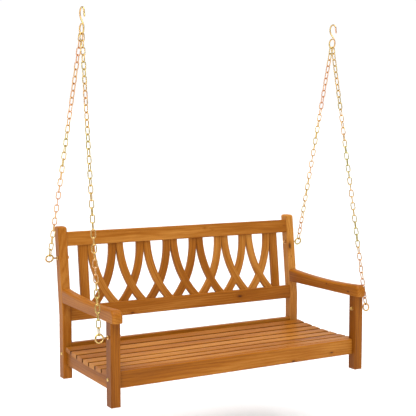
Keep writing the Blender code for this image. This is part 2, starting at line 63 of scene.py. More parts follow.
LONG_EDGE = 0.0038           # rounding of the boards' long edges
POST_TOP_ROUND, ARM_ROUND, ARM_EASE, END_SLAT_EDGE = 0.0100, 0.0115, 0.0020, 0.0028
ROUND_SEGMENTS = 5
FINE_EDGE = 0.0012           # easing where one board meets another
SEAT_SLATS, SEAT_PITCH, SEAT_FRONT = 7, 0.0628, 0.0475
SLAT_WIDE, SLAT_THICK, SLAT_EDGE = 0.054, 0.018, 0.0045
SEAT_LOW, SEAT_LOW_AT, SEAT_CURVE = 0.1262, 0.220, 0.19
BAYS, BAY, LATTICE_WIDE, LATTICE_EDGE = 7, 0.13333, 0.034, 0.0026
LATTICE_END_ANGLE = math.radians(41)
ROOT_ABOVE, ROOT_BELOW = 0.0075, 0.0180    # how far the curved slats run on into the two rails
TENON = 0.0163               # the back rails' stub tenons, which don't show
LAP_STEP = 0.0012            # the slats of a crossing stand this much behind each other
ARM_TOP_FRONT, ARM_TOP_LOW, ARM_TOP_REAR, ARM_LOW_AT = 0.3735, 0.3665, 0.3800, 0.200
ARM_NOSE = 0.028

EYE_Z, EYE_OUT, EYE_RING, EYE_WIRE = (0.2670, 0.5080), 0.0365, 0.0155, 0.0035
EYE_TAIL, WASHER_THICK, NUT_THICK, NUT_ACROSS = 0.0110, 0.0016, 0.0065, 0.0130
HOOK_X, HOOK_WIRE, HOOK_TOP_RADIUS, HOOK_EYE_RADIUS = 0.6035, 0.00325, 0.0210, 0.0200
HOOK_NECK = (0.0270, 0.0300)     # how far the neck leaves the crook and the eye straight
HOOK_TIP = ((-0.0250, 0.0130), (-0.0232, 0.0085), (-0.0217, 0.0040))    # y, and depth below the crook's centre
GAP = 0.0003
LINK_WIRE, LINK_WIDE, CHAIN_LINKS = 0.0045, 0.0210, (41, 33)
KNOTS_REAR_POST = ((0.571, 0.491, 0.0085), (0.576, 0.440, 0.0026))     # x, z and radius
RAIL_BOLT_Y, RAIL_BOLT_Z = (0.0310, 0.5080), (0.1035, 0.1060)

CAMERA_AT = Vector((-2.0009, -3.1544, 1.0318))     # in the bench's own frame
CAMERA_AZIMUTH, CAMERA_DOWN = math.radians(-29.979), math.radians(4.584)
CAMERA_LENS = 80.75
FLOOR_BELOW_FEET, FLOOR_REACH = 0.40, 30.0
KEY_FROM, KEY_SIZE, KEY_POWER = Vector((-2.3, -2.4, 3.0)), 1.3, 58
SUN_FROM, SUN_POWER, SUN_ANGLE = Vector((-0.12, -0.10, 1.0)), 1.75, math.radians(40)


# ---- node trees ---------------------------------------------------------------------------
class Wire:
    """A socket that can be used in Python expressions on numbers."""

    def __init__(self, tree, socket):
        self.tree, self.socket = tree, socket

    def maths(self, operation, *others):
        node = self.tree.add("ShaderNodeMath", {"operation": operation}, dict(enumerate((self, *others))))
        return Wire(self.tree, node.outputs[0])

    def __add__(self, other):
        return self.maths("ADD", other)

    __radd__ = __add__

    def __mul__(self, other):
        return self.maths("MULTIPLY", other)

    __rmul__ = __mul__

    def __sub__(self, other):
        return self.maths("SUBTRACT", other)

    def __rsub__(self, other):
        return self.maths("MULTIPLY_ADD", -1.0, other)

    def __truediv__(self, other):
        return self.maths("DIVIDE", other)

    def __pow__(self, other):
        return self.maths("POWER", other)


class Tree:
    """Adds nodes to a tree: the type and its settings first, then its sockets' values or links."""

    def __init__(self, tree):
        self.tree = tree

    def add(self, kind, settings=None, sockets=None):
        node = self.tree.nodes.new(kind)
        for name, value in (settings or {}).items():
            setattr(node, name, value)
        for name, value in (sockets or {}).items():
            if isinstance(value, Wire):
                self.tree.links.new(value.socket, node.inputs[name])
            else:
                node.inputs[name].default_value = value
        return node

    def wire(self, kind, settings=None, sockets=None, output=0):
        return Wire(self, self.add(kind, settings, sockets).outputs[output])

    def vector(self, operation, *operands, output=0):
        return self.wire("ShaderNodeVectorMath", {"operation": operation}, dict(enumerate(operands)), output)

    def noise(self, point, stretch, detail=2.0, roughness=0.5):
        """Noise from 0 to 1 on coordinates stretched per axis."""
        scaled = self.vector("MULTIPLY", point, stretch)
        sockets = {"Vector": scaled, "Scale": 1.0, "Detail": detail, "Roughness": roughness}
        return self.wire("ShaderNodeTexNoise", None, sockets)

    def step(self, value, low, high):
        """Smooth step from 0 at low to 1 at high."""
        sockets = {"Value": value, "From Min": low, "From Max": high}
        return self.wire("ShaderNodeMapRange", {"interpolation_type": "SMOOTHSTEP"}, sockets)

    def mix(self, factor, first, second):
        """Mix two colours; either may be a plain tuple."""
        node = self.add("ShaderNodeMix", {"data_type": "RGBA"}, {0: factor})
        for slot, value in ((6, first), (7, second)):
            if isinstance(value, Wire):
                self.tree.links.new(value.socket, node.inputs[slot])
            else:
                node.inputs[slot].default_value = (*value, 1)
        return Wire(self, node.outputs[2])

    def ramp(self, factor, stops):
        node = self.add("ShaderNodeValToRGB", None, {"Fac": factor})
        band = node.color_ramp
        while len(band.elements) < len(stops):
            band.elements.new(0.5)
        for element, (position, colour) in zip(band.elements, stops):
            element.position = position
            element.color = (*colour, 1)
        return Wire(self, node.outputs[0])


def new_material(name):
    """A material with an empty Principled shader, and the tree that fills it."""
    made = bpy.data.materials.new(name)
    made.use_nodes = True
    return made, Tree(made.node_tree), made.node_tree.nodes["Principled BSDF"]


def connect(tree, shader, sockets):
    for name, value in sockets.items():
        if isinstance(value, Wire):
            tree.tree.links.new(value.socket, shader.inputs[name])
        else:
            shader.inputs[name].default_value = value


# ---- materials ----------------------------------------------------------------------------
DEEP, BODY, PALE = (0.150, 0.038, 0.002), (0.325, 0.103, 0.0065), (0.560, 0.245, 0.045)
# colour of the painted shade on the boards' long sides, standing in for the shade in the gaps between them
GAP_SHADE_PAINT = (0.060, 0.017, 0.002)
KNOT_DARK = (0.060, 0.020, 0.006)
RING_PITCH = 0.0085


def acacia(name, place, heart, shade=(0.0, 0.0), knots=(), boards=0.0):
    """Oiled acacia with the grain along X of the given frame.

    heart is where the trunk's heart lies beside the board, in its own Y and Z. shade is how much
    darker the board is, and how that grows per metre along it. knots are
    (point, radius) in the world. With boards, the width of the boards of a piece that carries
    the attributes board and section, each board is cut afresh and its sides get painted shade:
    darker colour that stands in for the shade in the gaps between the boards.
    """
    made, t, shader = new_material(name)
    here = t.wire("ShaderNodeTexCoord", output=3)
    sockets = {"Vector": here, "Location": place.translation, "Rotation": place.to_euler()}
    point = t.wire("ShaderNodeMapping", {"vector_type": "TEXTURE"}, sockets)
    if boards:
        board = t.wire("ShaderNodeAttribute", {"attribute_name": "board"}, output=2)
        shift = t.wire("ShaderNodeCombineXYZ", None, {0: board * 1.73, 1: board * 0.021, 2: board * 0.013})
        point = t.vector("ADD", point, shift)
        section = t.wire("ShaderNodeAttribute", {"attribute_name": "section"}, output=1)
        across = t.wire("ShaderNodeSeparateXYZ", None, {0: section}, 0).maths("ABSOLUTE")
        # painted shade: a mask over the outer few millimetres of each board's width, where the gaps between
        # boards lie in shade
        painted_gap_shade = t.step(across, boards / 2 - 0.0026, boards / 2 - 0.0004)
        return grained(made, t, shader, point, place, heart, shade, knots, board, painted_gap_shade)
    return grained(made, t, shader, point, place, heart, shade, knots)


def grained(made, t, shader, point, place, heart, shade, knots, board=None, painted_gap_shade=None, spread=0.22):
    """Colour, gloss and relief of the wood on board coordinates, X along the grain."""
    blotch = t.noise(point, (1.6, 11.0, 11.0), 2.0)
    warp = t.noise(point, (2.6, 17.0, 17.0), 3.0)
    cross = t.vector("MULTIPLY", t.vector("SUBTRACT", point, (0.0, *heart)), (0.0, 1.0, 1.0))
    field = t.vector("LENGTH", cross, output=1) + (warp - 0.5) * 0.030
    knotted, eye = None, None
    for spot, radius in knots:
        centre = place.inverted() @ spot
        away = t.vector("MULTIPLY", t.vector("SUBTRACT", point, centre), (0.45, 1.0, 1.0))
        wobble = t.noise(point, (180.0, 180.0, 180.0), 1.0) - 0.5
        distance = t.vector("LENGTH", away, output=1) + wobble * (radius * 0.5)
        near = 1.0 - t.step(distance, 0.0, radius * 3.6)
        field = field * (1.0 - near) + distance * 0.5 * near
        dark = 1.0 - t.step(distance, radius * 0.35, radius * 1.25)
        knotted = near if knotted is None else knotted.maths("MAXIMUM", near)
        eye = dark if eye is None else eye.maths("MAXIMUM", dark)
    rings = (field * (math.tau / RING_PITCH)).maths("SINE") * 0.5 + 0.5
    streak = t.noise(point, (5.0, 210.0, 210.0), 3.0, 0.65)
    thread = t.noise(point, (22.0, 900.0, 900.0), 2.0, 0.6)
    pores = t.step(t.noise(point, (75.0, 1500.0, 1500.0), 1.0), 0.60, 0.74)
    level = (blotch - 0.5) * 0.95 + (streak - 0.5) * 0.62 + (thread - 0.5) * 0.26
    run = t.wire("ShaderNodeSeparateXYZ", None, {0: point}, 0)
    level = level + (rings ** 2.2) * -0.16 + 0.60 - shade[0] - run * shade[1]
    if board is not None:
        level = level + ((board * 12.9898).maths("SINE") * 43.7).maths("FRACT") * spread - spread / 2
    if knotted is not None:
        level = level - knotted * knotted * 0.30
    colour = t.ramp(level, [(0.0, DEEP), (0.5, BODY), (1.0, PALE)])
    colour = t.mix(pores * 0.40, colour, DEEP)
    if eye is not None:
        colour = t.mix(eye * 0.88, colour, KNOT_DARK)
    # painted shade: the boards' sides are darkened to stand in for the shade in the gaps between them
    if painted_gap_shade is not None:
        colour = t.mix(painted_gap_shade * 0.85, colour, GAP_SHADE_PAINT)
    relief = (thread - 0.5) * 0.8 + (streak - 0.5) * 0.8 - pores * 0.9 - rings * 0.15
    bump = t.wire("ShaderNodeBump", None, {"Strength": 0.22, "Distance": 0.0006, "Height": relief})
    roughness = 0.42 + (streak - 0.5) * 0.20 + pores * 0.20
    connect(t, shader, {"Base Color": colour, "Roughness": roughness, "Normal": bump,
                        "Specular IOR Level": 0.12})
    return made


def lattice_acacia(name):
    """Acacia whose grain follows each curved slat, on the attributes along, section and board."""
    made, t, shader = new_material(name)
    board = t.wire("ShaderNodeAttribute", {"attribute_name": "board"}, output=2)
    along = t.wire("ShaderNodeAttribute", {"attribute_name": "along"}, output=2)
    section = t.wire("ShaderNodeAttribute", {"attribute_name": "section"}, output=1)
    shift = t.wire("ShaderNodeCombineXYZ", None, {0: along + board * 1.37, 1: board * 0.017, 2: board * 0.011})
    turned = t.wire("ShaderNodeMapping", {"vector_type": "POINT"},
                    {"Vector": section, "Rotation": (0, math.pi / 2, 0)})
    point = t.vector("ADD", t.vector("MULTIPLY", turned, (0.0, 1.0, 1.0)), shift)
    return grained(made, t, shader, point, Matrix.Identity(4), (0.03, 0.05), (0.0, 0.0), (), board,
                   spread=0.38)


def yellow_zinc(name, roughness=0.26):
    """Yellow-passivated zinc: pale gold that drifts to pink and green along a piece."""
    made, t, shader = new_material(name)
    here = t.wire("ShaderNodeTexCoord", output=3)
    drift = t.noise(here, (5.0, 9.0, 5.0), 1.5)
    spots = t.noise(here, (90.0, 90.0, 90.0), 2.0)
    film = drift + (spots - 0.5) * 0.32
    colour = t.ramp(film, [(0.32, (0.46, 0.40, 0.13)), (0.45, (0.62, 0.42, 0.14)), (0.58, (0.66, 0.38, 0.17)),
                           (0.70, (0.62, 0.30, 0.18))])
    grime = t.step(t.noise(here, (260.0, 260.0, 260.0), 2.0), 0.55, 0.75)
    colour = t.mix(grime * 0.35, colour, (0.20, 0.12, 0.05))
    bump = t.wire("ShaderNodeBump", None, {"Strength": 0.15, "Distance": 0.0002, "Height": spots})
    connect(t, shader, {"Base Color": colour, "Metallic": 1.0, "Normal": bump,
                        "Roughness": roughness + (spots - 0.5) * 0.16 + grime * 0.15})
    return made


def floor_paint(name):
    made, t, shader = new_material(name)
    here = t.wire("ShaderNodeTexCoord", output=3)
    mottle = t.noise(here, (0.8, 0.8, 0.8), 2.0)
    connect(t, shader, {"Base Color": t.mix(mottle, (0.90, 0.90, 0.90), (0.93, 0.93, 0.93)), "Roughness": 0.9,
                        "Specular IOR Level": 0.1})
    return made


# ---- pieces -------------------------------------------------------------------------------
def turned_to(axis):
    """Rotation that lays local X along the given axis."""
    return {"X": Matrix.Identity(4), "Y": Matrix.Rotation(math.pi / 2, 4, "Z"),
            "Z": Matrix.Rotation(-math.pi / 2, 4, "Y")}[axis]


def local_box(node, place):
    """Lowest and highest corner of a CAD node in another frame."""
    back = place.inverted()
    spots = [back @ vertex.co for vertex in frame["nodes"][node].data.vertices]
    return tuple(Vector(extreme(spot[i] for spot in spots) for i in range(3)) for extreme in (min, max))


def finish_piece(name, mesh, material, body, slot, nodes):
    """Make the finished object of a mesh that already lies in its place, and tie it to the frame."""
    mesh.name = name
    mesh.materials.clear()
    mesh.materials.append(material)
    piece = bpy.data.objects.new(name, mesh)
    bpy.context.scene.collection.objects.link(piece)
    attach(piece, body)
    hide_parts(*nodes)
    return piece


def even_normals(piece):
    """Keep the flat faces flat in shading."""
    piece.modifiers.new("even_normals", "WEIGHTED_NORMAL").keep_sharp = True


def soften(piece, width, ease=0.0):
    """Round the edges by their bevel weights, then ease the others."""
    bevel = piece.modifiers.new("rounded_edges", "BEVEL")
    bevel.width = width
    bevel.segments = ROUND_SEGMENTS
    bevel.limit_method = "WEIGHT"
    bevel.use_clamp_overlap = False
    if ease:
        second = piece.modifiers.new("eased_edges", "BEVEL")
        second.width = ease
        second.segments = 3
        second.angle_limit = math.radians(50)
    even_normals(piece)


def extruded(outline, low, high, edge_weight):
    """Mesh of an outline in the YZ plane extruded along X; edge_weight(edge) gives its rounding."""
    shape = bmesh.new()
    first = [shape.verts.new((low, y, z)) for y, z in outline]
    second = [shape.verts.new((high, y, z)) for y, z in outline]
    shape.faces.new(first[::-1])
    shape.faces.new(second)
    for i in range(len(outline)):
        j = (i + 1) % len(outline)
        shape.faces.new((first[i], first[j], second[j], second[i]))
    bmesh.ops.recalc_face_normals(shape, faces=shape.faces)
    weights = shape.edges.layers.float.new("bevel_weight_edge")
    for edge in shape.edges:
        edge[weights] = edge_weight(edge)
    for face in shape.faces:
        face.smooth = True
    mesh = bpy.data.meshes.new("outline")
    shape.to_mesh(mesh)
    shape.free()
    return mesh


def board(name, node, place, grain, heart, shade, knots=(), edge=LONG_EDGE, inset=0.0, slot="rail_wood"):
    """A straight board in the box of its CAD node, inset at both ends: long edges rounded, ends eased."""
    low, high = local_box(node, place)
    low, high = low + Vector((inset, 0, 0)), high - Vector((inset, 0, 0))
    outline = [(low.y, low.z), (high.y, low.z), (high.y, high.z), (low.y, high.z)]
    axis = "XYZ".index(grain)

    def weight(one):
        run = (one.verts[1].co - one.verts[0].co).normalized()
        return 1.0 if abs(run[axis]) > 0.9 else FINE_EDGE / edge

    mesh = extruded(outline, low.x, high.x, weight)
    mesh.transform(place)
    spot = place @ Matrix.Translation((low + high) / 2) @ turned_to(grain)
    wood = acacia(f"acacia_{name}", spot, heart, shade, knots)
    soften(finish_piece(name, mesh, wood, "bench", slot, [node]), edge)


def rear_face(z):
    return BENCH_DEEP - POST_DEEP + max(0.0, z - KINK_HEIGHT) * LEAN


def seat_top(y):
    return SEAT_LOW + SEAT_CURVE * (y - SEAT_LOW_AT) ** 2


def knot(x, y, z, radius):
    """A knot at a place in the bench's own frame."""
    return HANG @ Vector((x, y, z)), radius


def rear_post(side):
    """Rear post: upright below the seat, leaning above it, its top rounded all over."""
    node = f"rear_post_{side}"
    low, high = local_box(node, HANG)
    top_y = rear_face(high.z)
    foot_y = BENCH_DEEP - POST_DEEP
    outline = [(foot_y, 0), (BENCH_DEEP, 0), (BENCH_DEEP, KINK_HEIGHT), (top_y + POST_DEEP, high.z),
               (top_y, high.z), (foot_y, KINK_HEIGHT)]

    def weight(one):
        a, b = one.verts[0].co, one.verts[1].co
        if abs(a.z - b.z) > 0.05:
            return 0.45
        if min(a.z, b.z) > high.z - 0.01:
            return 1.0
        return 0.15 if max(a.z, b.z) < 0.01 else 0.0

    mesh = extruded(outline, low.x, high.x, weight)
    mesh.transform(HANG)
    knots = ()
    if side == "right":
        knots = [knot(x, rear_face(z) + 0.002, z, size) for x, z, size in KNOTS_REAR_POST]
    spot = HANG @ Matrix.Translation(((low.x + high.x) / 2, top_y, 0.30)) @ turned_to("Z")
    shade, heart = ((0.06, -0.3), (0.06, 0.03)) if side == "left" else ((-0.16, -0.5), (-0.07, 0.05))
    wood = acacia(f"acacia_{node}", spot, heart, shade, knots)
    soften(finish_piece(f"{node}_board", mesh, wood, "bench", "rail_wood", [node]), POST_TOP_ROUND)


def armrest(side):
    """Armrest: flat below, dished on top, its front end a round nose, both top edges well rounded."""
    node = f"armrest_{side}"
    low, high = local_box(node, HANG)
    nose_centre = Vector((low.y + ARM_NOSE, arm_top(low.y + ARM_NOSE) - ARM_NOSE))
    outline = [(low.y, low.z), (rear_face(low.z) - GAP, low.z)]
    rear = rear_face(high.z) - GAP
    outline += [(rear + (nose_centre.x - rear) * i / 14, arm_top(rear + (nose_centre.x - rear) * i / 14))
                for i in range(14)]
    outline += [(nose_centre.x - ARM_NOSE * math.sin(a), nose_centre.y + ARM_NOSE * math.cos(a))
                for a in (math.pi / 2 * i / 10 for i in range(11))]

    def weight(one):
        a, b = one.verts[0].co, one.verts[1].co
        across, below = abs(a.x - b.x) > 0.01, max(a.z, b.z) < low.z + 0.001
        return 0.0 if across or below or min(a.y, b.y) > rear_face(low.z) - 0.01 else 1.0

    mesh = extruded(outline, low.x, high.x, weight)
    mesh.transform(HANG)
    knots = []
    if side == "right":
        knots = [knot(high.x - 0.043, 0.050, 0.339, 0.0032), knot(high.x - 0.043, 0.205, 0.352, 0.0020)]
    spot = HANG @ Matrix.Translation(((low.x + high.x) / 2, 0.24, 0.34)) @ turned_to("Y")
    heart, shade = ((0.05, -0.09), (0.0, 0.0)) if side == "left" else ((-0.04, -0.08), (0.03, 0.0))
    wood = acacia(f"acacia_{node}", spot, heart, shade, knots)
    soften(finish_piece(f"{node}_board", mesh, wood, "bench", "rail_wood", [node]), ARM_ROUND, ARM_EASE)


def arm_top(y):
    """Dished top of the armrest: a parabola on each side of its lowest point."""
    if y < ARM_LOW_AT:
        return ARM_TOP_LOW + (ARM_TOP_FRONT - ARM_TOP_LOW) * ((ARM_LOW_AT - y) / ARM_LOW_AT) ** 2
    run = BENCH_DEEP - POST_DEEP - ARM_LOW_AT
    return ARM_TOP_LOW + (ARM_TOP_REAR - ARM_TOP_LOW) * ((y - ARM_LOW_AT) / run) ** 2


def seat_support(node, shade, heart):
    """A rail that runs from front to rear below the slats, its top edge dished as the seat."""
    low, high = local_box(node, HANG)
    if node.startswith("side_rail"):
        low.y, high.y = POST_DEEP + GAP, BENCH_DEEP - POST_DEEP - GAP
    steps = 10
    spots = [high.y + (low.y - high.y) * i / steps for i in range(steps + 1)]
    outline = [(low.y, low.z), (high.y, low.z)] + [(y, seat_top(y) - SLAT_THICK - 0.0008) for y in spots]

    def weight(one):
        a, b = one.verts[0].co, one.verts[1].co
        return 1.0 if abs(a.y - b.y) > 0.1 else 0.0

    mesh = extruded(outline, low.x, high.x, weight)
    mesh.transform(HANG)
    spot = HANG @ Matrix.Translation((low.x, 0.25, 0.08)) @ turned_to("Y")
    wood = acacia(f"acacia_{node}", spot, heart, shade)
    soften(finish_piece(f"{node}_board", mesh, wood, "bench", "rail_wood", [node]), LONG_EDGE)


# ---- pieces made by geometry nodes --------------------------------------------------------
def node_group(name, inputs):
    """An empty geometry tree with named inputs, and the tree that fills it."""
    group = bpy.data.node_groups.new(name, "GeometryNodeTree")
    group.interface.new_socket("Geometry", in_out="OUTPUT", socket_type="NodeSocketGeometry")
    for label, kind in inputs:
        group.interface.new_socket(label, in_out="INPUT", socket_type=f"NodeSocket{kind}")
    t = Tree(group)
    start = t.add("NodeGroupInput")
    wires = {label: Wire(t, start.outputs[label]) for label, _ in inputs}
    return group, t, wires


def close_group(t, geometry, material):
    """Shade smooth, realise, give the material and end the tree."""
    geometry = t.wire("GeometryNodeRealizeInstances", None, {0: geometry})
    geometry = t.wire("GeometryNodeSetShadeSmooth", None, {"Geometry": geometry})
    geometry = t.wire("GeometryNodeSetMaterial", None, {"Geometry": geometry, "Material": material})
    t.add("NodeGroupOutput", None, {0: geometry})


def grown(group, values, place):
    """Run a geometry tree with its inputs set, and return the plain mesh in its place."""
    carrier = bpy.data.objects.new("carrier", bpy.data.meshes.new("seed"))
    bpy.context.scene.collection.objects.link(carrier)
    modifier = carrier.modifiers.new("grow", "NODES")
    modifier.node_group = group
    for item in group.interface.items_tree:
        if item.in_out == "INPUT":
            modifier[item.identifier] = values[item.name]
    evaluated = carrier.evaluated_get(bpy.context.evaluated_depsgraph_get())
    mesh = bpy.data.meshes.new_from_object(evaluated)
    carrier.modifiers.remove(modifier)
    bpy.data.objects.remove(carrier)
    mesh.transform(place)
    return mesh


def rounded_bar(t, path, wide, thick, edge):
    """Sweep a rectangle with rounded corners along a path, keeping where each point lies in it."""
    section = t.wire("GeometryNodeCurvePrimitiveQuadrilateral", None, {"Width": wide, "Height": thick})
    section = t.wire("GeometryNodeFilletCurve", {"mode": "POLY"},
                     {"Curve": section, "Count": 3, "Radius": edge})
    where = t.wire("GeometryNodeInputPosition")
    section = t.wire("GeometryNodeStoreNamedAttribute", {"data_type": "FLOAT_VECTOR"},
                     {"Geometry": section, "Name": "section", "Value": where})
    reach = t.wire("GeometryNodeSplineParameter", output=1)
    path = t.wire("GeometryNodeStoreNamedAttribute", {"data_type": "FLOAT"},
                  {"Geometry": path, "Name": "along", "Value": reach})
    return t.wire("GeometryNodeCurveToMesh", None,
                  {"Curve": path, "Profile Curve": section, "Fill Caps": True})


def numbered(t, instances, first):
    """Give each board its own number for the grain."""
    index = t.wire("GeometryNodeInputIndex")
    return t.wire("GeometryNodeStoreNamedAttribute", {"data_type": "FLOAT", "domain": "INSTANCE"},
                  {"Geometry": instances, "Name": "board", "Value": index + first})


def seat_group():
    """Boards side by side on the dished seat."""
    numbers = ("Length", "Width", "Thickness", "Edge", "Front", "Pitch", "Low", "Low At", "Curve")
    group, t, given = node_group("seat_boards", [("Boards", "Int"), ("Wood", "Material")]
                                 + [(label, "Float") for label in numbers])
    half = given["Length"] * 0.5
    ends = []
    for sign in (-1.0, 1.0):
        ends.append(t.wire("ShaderNodeCombineXYZ", None, {0: half * sign}))
    path = t.wire("GeometryNodeCurvePrimitiveLine", None, {"Start": ends[0], "End": ends[1]})
    path = t.wire("GeometryNodeResampleCurve", None, {"Curve": path, "Count": 3})
    bar = rounded_bar(t, path, given["Width"], given["Thickness"], given["Edge"])
    index = t.wire("GeometryNodeInputIndex")
    y = given["Front"] + given["Pitch"] * index + given["Width"] * 0.5
    off = y - given["Low At"]
    slope = (off * given["Curve"] * 2.0).maths("ARCTANGENT")
    drop = given["Thickness"] * 0.5
    y_at = y + slope.maths("SINE") * drop
    z_at = given["Low"] + given["Curve"] * off * off - slope.maths("COSINE") * drop
    spot = t.wire("ShaderNodeCombineXYZ", None, {1: y_at, 2: z_at})
    row = t.wire("GeometryNodeMeshLine", None, {"Count": given["Boards"]})
    row = t.wire("GeometryNodeSetPosition", None, {"Geometry": row, "Position": spot})
    lean = t.wire("ShaderNodeCombineXYZ", None, {0: slope})
    boards = t.wire("GeometryNodeInstanceOnPoints", None, {"Points": row, "Instance": bar, "Rotation": lean})
    close_group(t, numbered(t, boards, 4.0), given["Wood"])
    return group


def lattice_group():
    """Pairs of curved slats that cross once in each bay, drawn in the XY plane with +Z to the front."""
    numbers = ("Bay", "Width", "Thickness", "Edge", "Radius", "Lead", "Sweep", "Lap")
    group, t, given = node_group("lattice", [("Bays", "Int"), ("Wood", "Material")]
                                 + [(label, "Float") for label in numbers])
    arc = t.wire("GeometryNodeCurveArc", {"mode": "RADIUS"},
                 {"Resolution": 18, "Radius": given["Radius"], "Start Angle": math.pi - given["Lead"],
                  "Sweep Angle": given["Sweep"]})
    beside = t.wire("ShaderNodeCombineXYZ", None, {0: given["Radius"] + given["Width"] * 0.5})
    arc = t.wire("GeometryNodeTransform", None, {"Geometry": arc, "Translation": beside})
    upright = t.wire("GeometryNodeSetCurveNormal", None, {"Curve": arc})
    bar = rounded_bar(t, upright, given["Width"], given["Thickness"], given["Edge"])
    first_x = given["Bay"] * given["Bays"] * -0.5
    step = t.wire("ShaderNodeCombineXYZ", None, {0: given["Bay"]})
    hands = t.add("GeometryNodeJoinGeometry")
    for number, (flip, side) in enumerate(((1.0, 0.5), (-1.0, -0.5))):
        x = first_x if flip > 0 else first_x + given["Bay"]
        start = t.wire("ShaderNodeCombineXYZ", None, {0: x, 2: given["Lap"] * side})
        row = t.wire("GeometryNodeMeshLine", None,
                     {"Count": given["Bays"], "Start Location": start, "Offset": step})
        one = t.wire("GeometryNodeTransform", None, {"Geometry": bar, "Scale": (flip, 1.0, 1.0)})
        if flip < 0:
            one = t.wire("GeometryNodeFlipFaces", None, {"Mesh": one})
        slats = t.wire("GeometryNodeInstanceOnPoints", None, {"Points": row, "Instance": one})
        t.tree.links.new(numbered(t, slats, 1.0 + 9.0 * number).socket, hands.inputs[0])
    close_group(t, Wire(t, hands.outputs[0]), given["Wood"])
    return group


def chain_group():
    """A straight chain hanging along -Z from the origin, each link turned from the one before."""
    numbers = ("Length", "Wire", "Width", "Turn")
    group, t, given = node_group("welded_chain", [("Links", "Int"), ("Metal", "Material")]
                                 + [(label, "Float") for label in numbers])
    pitch = given["Length"] / given["Links"]
    across = given["Width"] - given["Wire"]
    loop = t.wire("GeometryNodeCurvePrimitiveQuadrilateral", None,
                  {"Width": across, "Height": pitch + given["Wire"]})
    loop = t.wire("GeometryNodeFilletCurve", {"mode": "POLY"},
                  {"Curve": loop, "Count": 4, "Radius": across * 0.499, "Limit Radius": True})
    loop = t.wire("GeometryNodeTransform", None, {"Geometry": loop, "Rotation": (math.pi / 2, 0.0, 0.0)})
    rim = t.wire("GeometryNodeCurvePrimitiveCircle", None, {"Resolution": 8, "Radius": given["Wire"] * 0.5})
    link = t.wire("GeometryNodeCurveToMesh", None, {"Curve": loop, "Profile Curve": rim})
    start = t.wire("ShaderNodeCombineXYZ", None, {2: pitch * -0.5})
    step = t.wire("ShaderNodeCombineXYZ", None, {2: pitch * -1.0})
    row = t.wire("GeometryNodeMeshLine", None,
                 {"Count": given["Links"], "Start Location": start, "Offset": step})
    turn = t.wire("ShaderNodeCombineXYZ", None, {2: t.wire("GeometryNodeInputIndex") * given["Turn"]})
    links = t.wire("GeometryNodeInstanceOnPoints", None, {"Points": row, "Instance": link, "Rotation": turn})
    close_group(t, links, given["Metal"])
    return group


# ---- metal pieces -------------------------------------------------------------------------
def lathe(rings, segments=32):
    """Closed turned body along +X: rings of (radius, height), the radius a number or a function of angle."""
    shape = bmesh.new()
    rows = []
    for radius, height in rings:
        row = []
        for k in range(segments):
            angle = math.tau * k / segments
            reach = radius(angle) if callable(radius) else radius
            row.append(shape.verts.new((height, reach * math.cos(angle), reach * math.sin(angle))))
        rows.append(row)
    for before, after in zip(rows, rows[1:]):
        for k in range(segments):
            j = (k + 1) % segments
            shape.faces.new((before[k], after[k], after[j], before[j]))
    shape.faces.new(rows[0])
    shape.faces.new(rows[-1][::-1])
    bmesh.ops.recalc_face_normals(shape, faces=shape.faces)
    for face in shape.faces:
        face.smooth = True
    mesh = bpy.data.meshes.new("turned")
    shape.to_mesh(mesh)
    shape.free()
    mesh.set_sharp_from_angle(angle=math.radians(38))
    return mesh


def hexagon(across, cap=1.0):
    """Radius of a hexagon at an angle, no larger than cap."""
    def reach(angle):
        return min(cap, across / 2 / math.cos((angle + math.pi / 6) % (math.pi / 3) - math.pi / 6))
    return reach


def threaded(radius, start, end, pitch=0.00125, depth=0.00035):
    """Rings of a threaded rod, its crest running once round for each pitch."""
    count = int((end - start) / pitch * 6)
    rings = []
    for i in range(count + 1):
        height = start + (end - start) * i / count
        phase = height / pitch
        fade = min(1.0, (height - start) / 0.0015, (end - height) / 0.0015)

        def reach(angle, phase=phase, fade=fade):
            wave = abs((phase - angle / math.tau) % 1.0 - 0.5) * 2.0
            return radius - depth * wave * max(fade, 0.0) - 0.0004 * (1.0 - fade)
        rings.append((reach, height))
    return rings


def swept_wire(points, radius, closed=False):
    """Round wire along points, a closed ring or with domed ends."""
    curve = bpy.data.curves.new("wire", "CURVE")
    curve.dimensions = "3D"
    curve.bevel_depth = radius
    curve.bevel_resolution = 5
    curve.use_fill_caps = not closed
    curve.twist_mode = "MINIMUM"
    points = [Vector(p) for p in points]
    radii = [1.0] * len(points)
    if not closed:
        head, tail = (points[0] - points[1]).normalized(), (points[-1] - points[-2]).normalized()
        dome = [(0.50, 0.866), (0.80, 0.60), (0.95, 0.31)]
        points = ([points[0] + head * radius * d for d, _ in reversed(dome)] + points
                  + [points[-1] + tail * radius * d for d, _ in dome])
        radii = [r for _, r in reversed(dome)] + radii + [r for _, r in dome]
    spline = curve.splines.new("POLY")
    spline.points.add(len(points) - 1)
    for slot, at, size in zip(spline.points, points, radii):
        slot.co = (*at, 1)
        slot.radius = size
    spline.use_cyclic_u = closed
    spline.use_smooth = True
    carrier = bpy.data.objects.new("wire_carrier", curve)
    bpy.context.scene.collection.objects.link(carrier)
    mesh = bpy.data.meshes.new_from_object(carrier.evaluated_get(bpy.context.evaluated_depsgraph_get()))
    bpy.data.objects.remove(carrier)
    shape = bmesh.new()
    shape.from_mesh(mesh)
    bmesh.ops.remove_doubles(shape, verts=shape.verts, dist=0.00001)
    bmesh.ops.recalc_face_normals(shape, faces=shape.faces)
    for face in shape.faces:
        face.smooth = True
    shape.to_mesh(mesh)
    shape.free()
    return mesh


def joined(meshes):
    """One mesh from several."""
    shape = bmesh.new()
    for part in meshes:
        shape.from_mesh(part)
    mesh = bpy.data.meshes.new("joined")
    shape.to_mesh(mesh)
    shape.free()
    return mesh


def finish_metal(name, mesh, body, node):
    return finish_piece(name, mesh, ZINC, body, "yellow_zinc", [node])


def outer_face(side):
    """x of the posts' outer face on one side."""
    return local_box(f"front_post_{side}", HANG)[1 if side == "right" else 0].x


